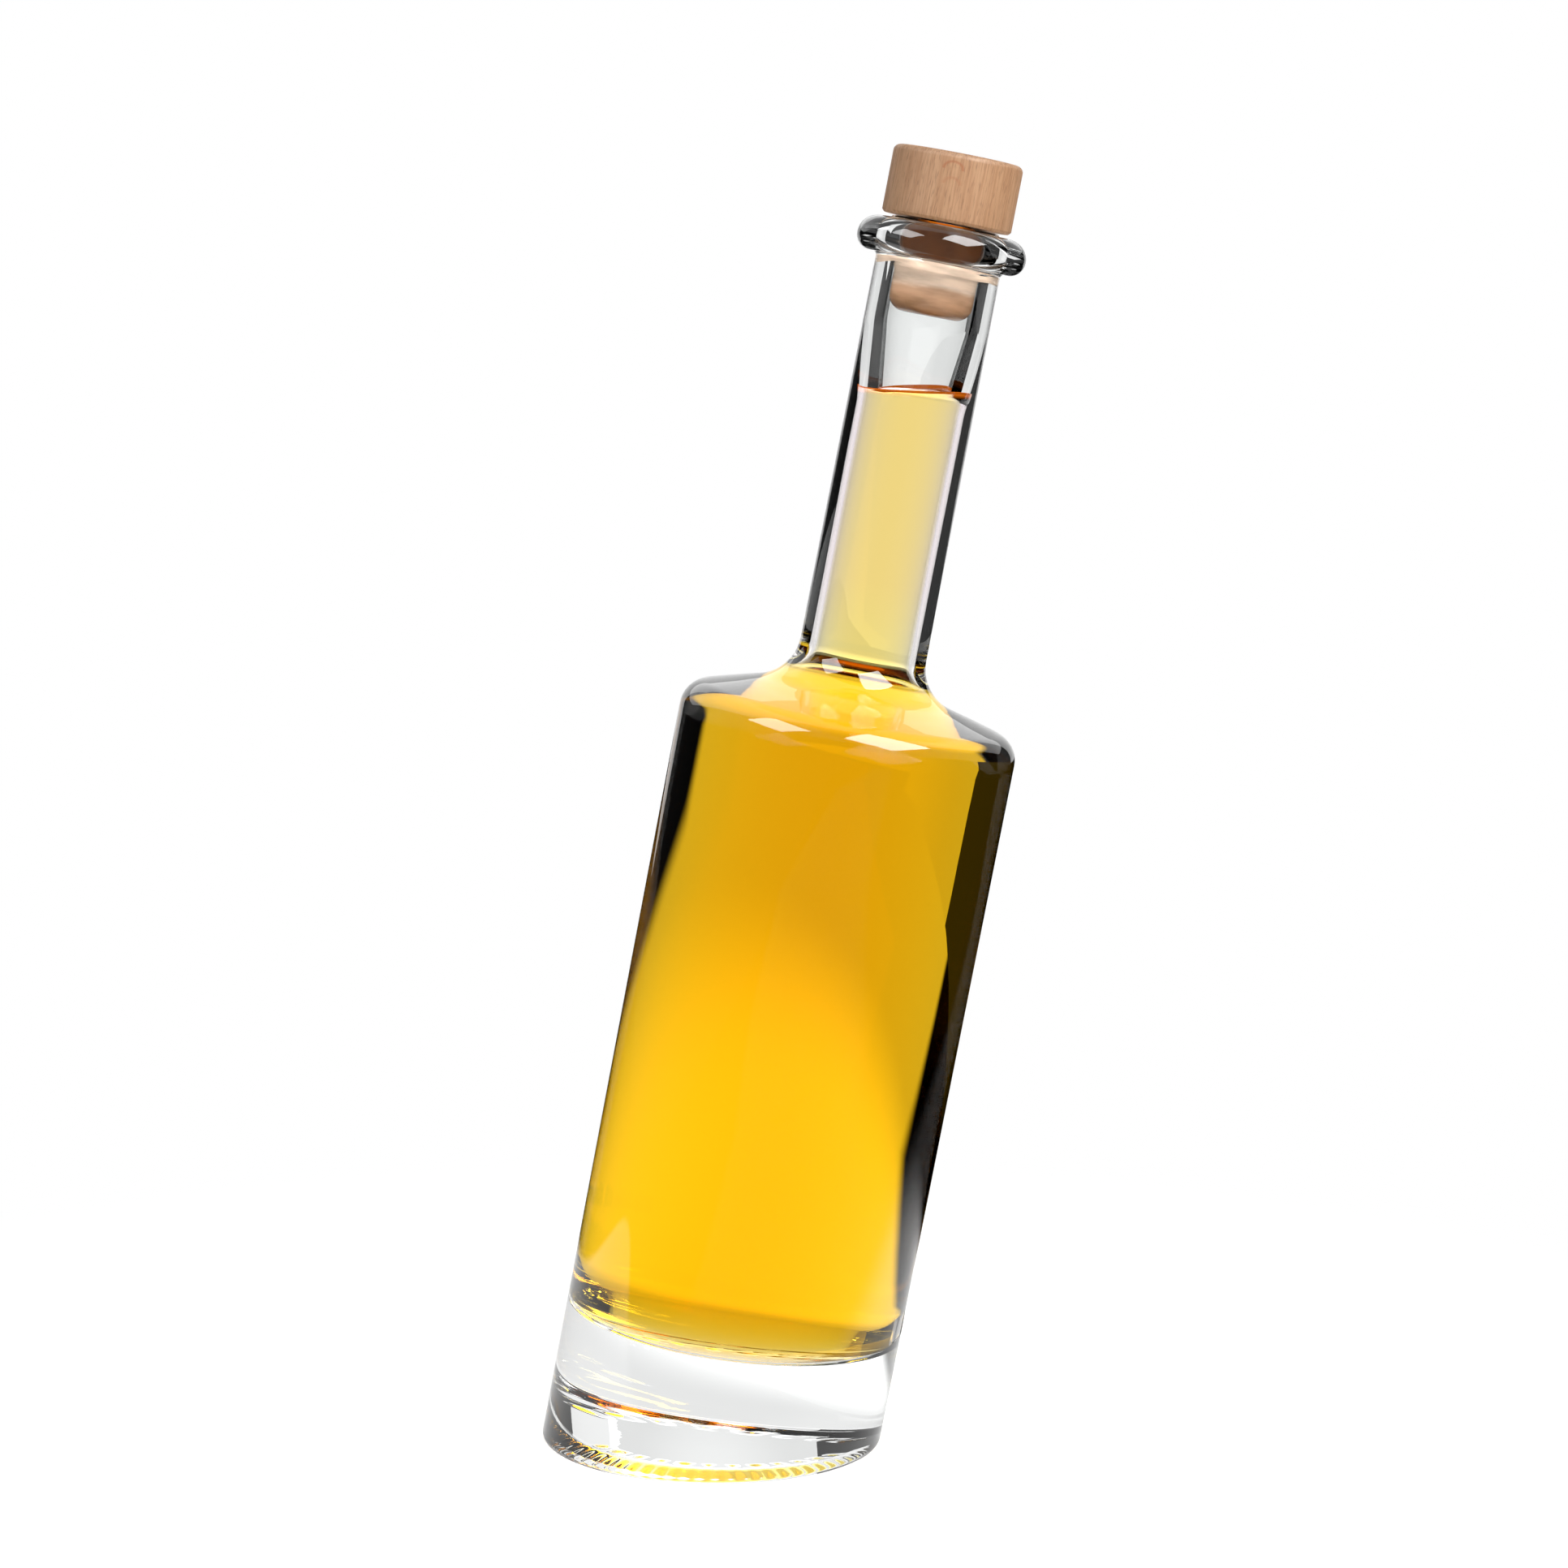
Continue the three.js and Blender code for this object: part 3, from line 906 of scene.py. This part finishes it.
def soft_box(camera, studio, name, place, size, watts, mirrored):
    data = bpy.data.lights.new(name, "AREA")
    data.shape = "RECTANGLE"
    data.size, data.size_y = size
    data.energy = watts
    lamp = bpy.data.objects.new(name, data)
    lamp.visible_glossy = mirrored
    lamp.visible_transmission = mirrored
    lamp.visible_diffuse = not mirrored
    lamp.visible_camera = False
    bpy.context.scene.collection.objects.link(lamp)
    hang_on(camera, lamp, place, (0, 0, -studio.distance))


def flat_sheet(name, half_width, half_height, material):
    bm = bmesh.new()
    bmesh.ops.create_grid(bm, x_segments=1, y_segments=1, size=1.0)
    bmesh.ops.scale(bm, vec=(half_width, half_height, 1), verts=bm.verts)
    mesh = bpy.data.meshes.new(name)
    bm.to_mesh(mesh)
    bm.free()
    mesh.materials.append(material)
    sheet = bpy.data.objects.new(name, mesh)
    bpy.context.scene.collection.objects.link(sheet)
    return sheet


def choose(nodes, links, switch, otherwise, chosen):
    """One of two strengths, by a switch of the light path."""
    mix = nodes.new("ShaderNodeMix")
    links.new(switch, mix.inputs["Factor"])
    set_or_link(links, mix.inputs["A"], otherwise)
    set_or_link(links, mix.inputs["B"], chosen)
    return mix.outputs["Result"]


def smooth_fall(nodes, links, value, full, none):
    """One up to a first distance, and smoothly down to nothing at a second."""
    fall = map_range(nodes, links, value, none, full)
    fall.interpolation_type = "SMOOTHSTEP"
    return fall.outputs["Result"]


def distance_from(nodes, links, vector, centre=(0, 0, 0), scale=(1, 1, 1)):
    place = nodes.new("ShaderNodeMapping")
    place.vector_type = "TEXTURE"
    place.inputs["Location"].default_value = centre
    place.inputs["Scale"].default_value = scale
    links.new(vector, place.inputs["Vector"])
    measure = nodes.new("ShaderNodeVectorMath")
    measure.operation = "LENGTH"
    links.new(place.outputs["Vector"], measure.inputs[0])
    return measure.outputs["Value"]


def raised(nodes, links, share, gain, base):
    """A base level plus a share of a gain."""
    return math_node(nodes, links, "MULTIPLY_ADD", share, gain, base)


def card_material():
    """Glowing white card, a little brighter in the middle; the camera itself sees plain white."""
    material, nodes, links, shader = new_material("white card")
    nodes.remove(shader)
    place = nodes.new("ShaderNodeTexCoord")
    off = distance_from(nodes, links, place.outputs["Object"], (0, 0.1, 0), (1, 1.4, 1))
    bright = raised(nodes, links, smooth_fall(nodes, links, off, 0.1, 0.75), 0.2, 0.8)
    path = nodes.new("ShaderNodeLightPath")
    light = nodes.new("ShaderNodeEmission")
    links.new(choose(nodes, links, path.outputs["Is Camera Ray"], bright, 1.0), light.inputs["Strength"])
    links.new(light.outputs["Emission"], nodes["Material Output"].inputs["Surface"])
    return material


# Places on the ground are in metres from the bottle's middle, with Y away from the camera
HOT_CENTRE, HOT_REACH = (-0.07, 0.3, 0), (0.31, 0.5, 1)
HOT_GAIN, GROUND_IN_GLASS = 0.54, 0.88
HOT_FROM, HOT_FULL = 0.06, 0.105
TABLE_MIDDLE, TABLE_EDGE = 0.03, 0.06
TABLE_WIDENING, FAR_WIDENING, FAR_START = 0.32, 0.35, 0.5
GLOSS_CENTRE, GLOSS_REACH = (-0.35, 0.06, 0), (0.52, 0.17, 1)
GROUND_ON_MATT = 0.9


def ground_material(studio):
    """White ground: it shows the shadow near the foot, and glows behind the bottle for the glass."""
    material, nodes, links, shader = new_material("white ground")
    shader.inputs["Base Color"].default_value = (0.9, 0.9, 0.9, 1)
    shader.inputs["Roughness"].default_value = 0.8
    shader.inputs["Emission Color"].default_value = (1, 1, 1, 1)
    shader.inputs["Emission Strength"].default_value = 0.75
    place = nodes.new("ShaderNodeTexCoord").outputs["Object"]
    radius = distance_from(nodes, links, place)
    spot = distance_from(nodes, links, place, HOT_CENTRE, HOT_REACH)
    hot = math_node(nodes, links, "MULTIPLY", smooth_fall(nodes, links, spot, 0.3, 1.1),
                    smooth_fall(nodes, links, radius, HOT_FULL, HOT_FROM))
    lit = raised(nodes, links, hot, HOT_GAIN, GROUND_IN_GLASS)
    parts = nodes.new("ShaderNodeSeparateXYZ")
    links.new(place, parts.inputs["Vector"])
    shift = math_node(nodes, links, "SUBTRACT", parts.outputs["X"], TABLE_MIDDLE)
    aside = math_node(nodes, links, "ABSOLUTE", shift)
    depth = math_node(nodes, links, "ABSOLUTE", parts.outputs["Y"])
    beyond = math_node(nodes, links, "SUBTRACT", depth, FAR_START)
    far = math_node(nodes, links, "MAXIMUM", beyond, 0.0)
    near_widening = math_node(nodes, links, "MULTIPLY", depth, TABLE_WIDENING)
    widening = raised(nodes, links, far, FAR_WIDENING, near_widening)
    reach = math_node(nodes, links, "SUBTRACT", aside, widening)
    half_width = studio.table_half_width
    table = smooth_fall(nodes, links, reach, half_width, half_width + TABLE_EDGE)
    in_glass = math_node(nodes, links, "MULTIPLY", lit, table)
    near = distance_from(nodes, links, place, GLOSS_CENTRE, GLOSS_REACH)
    in_gloss = smooth_fall(nodes, links, near, 0.92, 1.08)
    path = nodes.new("ShaderNodeLightPath")
    level = choose(nodes, links, path.outputs["Is Glossy Ray"], GROUND_ON_MATT, in_gloss)
    level = choose(nodes, links, path.outputs["Is Transmission Ray"], level, in_glass)
    level = choose(nodes, links, path.outputs["Is Camera Ray"], level, 1.0)
    glow = nodes.new("ShaderNodeEmission")
    links.new(level, glow.inputs["Strength"])
    shadowed = smooth_fall(nodes, links, radius, studio.shadow_radius, studio.shadow_radius * 2.5)
    share = math_node(nodes, links, "MULTIPLY", shadowed, path.outputs["Is Camera Ray"])
    mix = nodes.new("ShaderNodeMixShader")
    links.new(share, mix.inputs["Fac"])
    links.new(glow.outputs["Emission"], mix.inputs[1])
    links.new(shader.outputs["BSDF"], mix.inputs[2])
    links.new(mix.outputs["Shader"], nodes["Material Output"].inputs["Surface"])
    return material


def make_ground(studio, camera):
    """The ground turns with the camera, like the table of a turntable studio."""
    bm = bmesh.new()
    bmesh.ops.create_circle(bm, cap_ends=True, segments=128, radius=studio.ground_radius)
    mesh = bpy.data.meshes.new("ground")
    bm.to_mesh(mesh)
    bm.free()
    mesh.materials.append(ground_material(studio))
    ground = bpy.data.objects.new("ground", mesh)
    ground.location = (0, 0, -0.4 * MM)
    bpy.context.scene.collection.objects.link(ground)
    turn = ground.constraints.new("LOCKED_TRACK")
    turn.target = camera
    turn.track_axis = "TRACK_NEGATIVE_Y"
    turn.lock_axis = "LOCK_Z"


def make_room(studio):
    """White for the camera, an even light on matt surfaces, and nearly dark for gloss and glass."""
    world = bpy.data.worlds.new("room")
    world.use_nodes = True
    bpy.context.scene.world = world
    nodes, links = world.node_tree.nodes, world.node_tree.links
    path = nodes.new("ShaderNodeLightPath")
    matt = math_node(nodes, links, "MINIMUM", path.outputs["Diffuse Depth"], 1.0)
    level = choose(nodes, links, path.outputs["Is Transmission Ray"], studio.room_in_gloss,
                   studio.room_in_glass)
    even = choose(nodes, links, path.outputs["Is Transmission Ray"], studio.ambient,
                  studio.ambient_in_glass)
    level = choose(nodes, links, matt, level, even)
    level = choose(nodes, links, path.outputs["Is Camera Ray"], level, 1.0)
    background = nodes["Background"]
    background.inputs["Color"].default_value = (1, 1, 1, 1)
    links.new(level, background.inputs["Strength"])


class SCENE_OT_bottle_studio(Operator):
    """Make the camera, the white card and ground, the lamps and the room"""
    bl_idname = "scene.bottle_studio"
    bl_label = "Studio"

    def execute(self, context):
        studio = settings("bottle_studio")
        context.scene.view_settings.view_transform = "Standard"
        camera = make_camera(studio)
        card = flat_sheet("white_card", studio.card_half_width, studio.card_half_height,
                          card_material())
        behind = Vector((CARD_SIDE, 0, -studio.card_distance))
        hang_on(camera, card, behind, behind - Vector((0, 0, 1)))
        make_ground(studio, camera)
        make_room(studio)
        for lamp in LAMPS:
            soft_box(camera, studio, *lamp)
        return {"FINISHED"}


class VIEW3D_PT_bottle(Panel):
    """Lists the pieces and their sizes"""
    bl_label = "Leaning Bottle"
    bl_space_type = "VIEW_3D"
    bl_region_type = "UI"
    bl_category = "Bottle"

    def draw(self, context):
        for name, operators in PANEL_GROUPS:
            column = self.layout.column()
            group = settings(name)
            for prop in group.bl_rna.properties:
                if prop.identifier not in ("rna_type", "name"):
                    column.prop(group, prop.identifier)
            for operator in operators:
                column.operator(operator.bl_idname)


PANEL_GROUPS = (
    ("bottle_glass", (OBJECT_OT_bottle_glass,)),
    ("bottle_liquid", (OBJECT_OT_bottle_liquid,)),
    ("bottle_stopper", (OBJECT_OT_bottle_stopper_head, OBJECT_OT_bottle_stopper_shaft)),
    ("bottle_studio", (SCENE_OT_bottle_studio,)),
)
SETTINGS = {
    "bottle_glass": BottleGlassSettings,
    "bottle_liquid": BottleLiquidSettings,
    "bottle_stopper": BottleStopperSettings,
    "bottle_studio": BottleStudioSettings,
}
CLASSES = (*SETTINGS.values(), OBJECT_OT_bottle_glass, OBJECT_OT_bottle_liquid,
           OBJECT_OT_bottle_stopper_head, OBJECT_OT_bottle_stopper_shaft,
           SCENE_OT_bottle_studio, VIEW3D_PT_bottle)


def register():
    for cls in CLASSES:
        bpy.utils.register_class(cls)
    for name, kind in SETTINGS.items():
        setattr(bpy.types.Scene, name, PointerProperty(type=kind))


def unregister():
    for name in SETTINGS:
        delattr(bpy.types.Scene, name)
    for cls in reversed(CLASSES):
        bpy.utils.unregister_class(cls)


def main():
    register()
    bpy.ops.scene.bottle_studio()
    bpy.ops.object.bottle_glass()
    bpy.ops.object.bottle_liquid()
    bpy.ops.object.bottle_stopper_head()
    bpy.ops.object.bottle_stopper_shaft()


if __name__ == "__main__":
    main()
